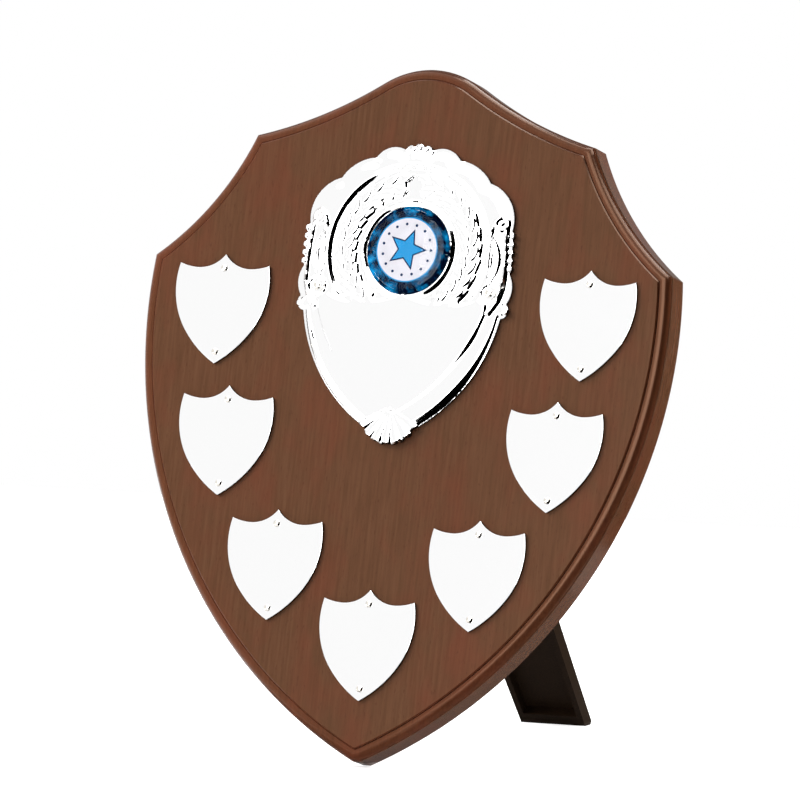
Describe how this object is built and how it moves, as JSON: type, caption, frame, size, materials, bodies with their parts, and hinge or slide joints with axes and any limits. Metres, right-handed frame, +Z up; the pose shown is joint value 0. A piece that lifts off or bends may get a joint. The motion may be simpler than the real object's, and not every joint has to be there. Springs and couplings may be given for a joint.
{
  "type": "perpetual award shield",
  "caption": "Stained wooden award shield with a pressed silver centre front round a domed insert, blank record plates, a folding rear strut and a wall hanger.",
  "frame": {"origin": "middle of the whole part's bounding box, on the table that the tip and the strut stand on", "axes": "+Z up from the table, the shield's face towards -Y, +X to the right as seen from the front"},
  "size_m": [0.173, 0.1672, 0.2109],
  "materials": {
    "stained_board": "satin lacquer",
    "plated_front": "bright plated",
    "polished_plate": "polished",
    "printed_insert": "printed",
    "clear_resin": "clear gloss",
    "plated_pin": "bright plated",
    "moulded_strut": "fine satin",
    "zinc_steel": "zinc plated"
  },
  "bodies": {
    "shield": {"shield_board": "stained_board", "centre_front": "plated_front", "centre_disc": "printed_insert", "disc_dome": "clear_resin", "front_pin_left": "plated_pin", "front_pin_right": "plated_pin", "plate_top_left": "polished_plate", "plate_top_right": "polished_plate", "plate_middle_left": "polished_plate", "plate_middle_right": "polished_plate", "plate_lower_left": "polished_plate", "plate_lower_right": "polished_plate", "plate_bottom": "polished_plate", "pin_top_left_upper": "plated_pin", "pin_top_left_under": "plated_pin", "pin_top_right_upper": "plated_pin", "pin_top_right_under": "plated_pin", "pin_middle_left_upper": "plated_pin", "pin_middle_left_under": "plated_pin", "pin_middle_right_upper": "plated_pin", "pin_middle_right_under": "plated_pin", "pin_lower_left_upper": "plated_pin", "pin_lower_left_under": "plated_pin", "pin_lower_right_upper": "plated_pin", "pin_lower_right_under": "plated_pin", "pin_bottom_upper": "plated_pin", "pin_bottom_under": "plated_pin", "strut_bracket": "moulded_strut", "strut_pin": "zinc_steel", "bracket_screw_1": "zinc_steel", "bracket_screw_2": "zinc_steel", "bracket_screw_3": "zinc_steel", "bracket_screw_4": "zinc_steel", "hanger_strap": "zinc_steel", "hanger_screw": "zinc_steel"},
    "strut": {"strut": "moulded_strut"},
    "ring": {"hanger_ring": "zinc_steel"}
  },
  "joints": [
    {"name": "strut_fold", "type": "hinge", "parent": "shield", "child": "strut", "pos_m": [0, -0.03771, 0.12737], "axis": [1, 0, 0], "range_deg": [-55.9, 0]},
    {"name": "ring_swing", "type": "hinge", "parent": "shield", "child": "ring", "pos_m": [0, -0.02784, 0.18257], "axis": [1, 0, 0], "range_deg": [-12.8, 166.2]}
  ]
}
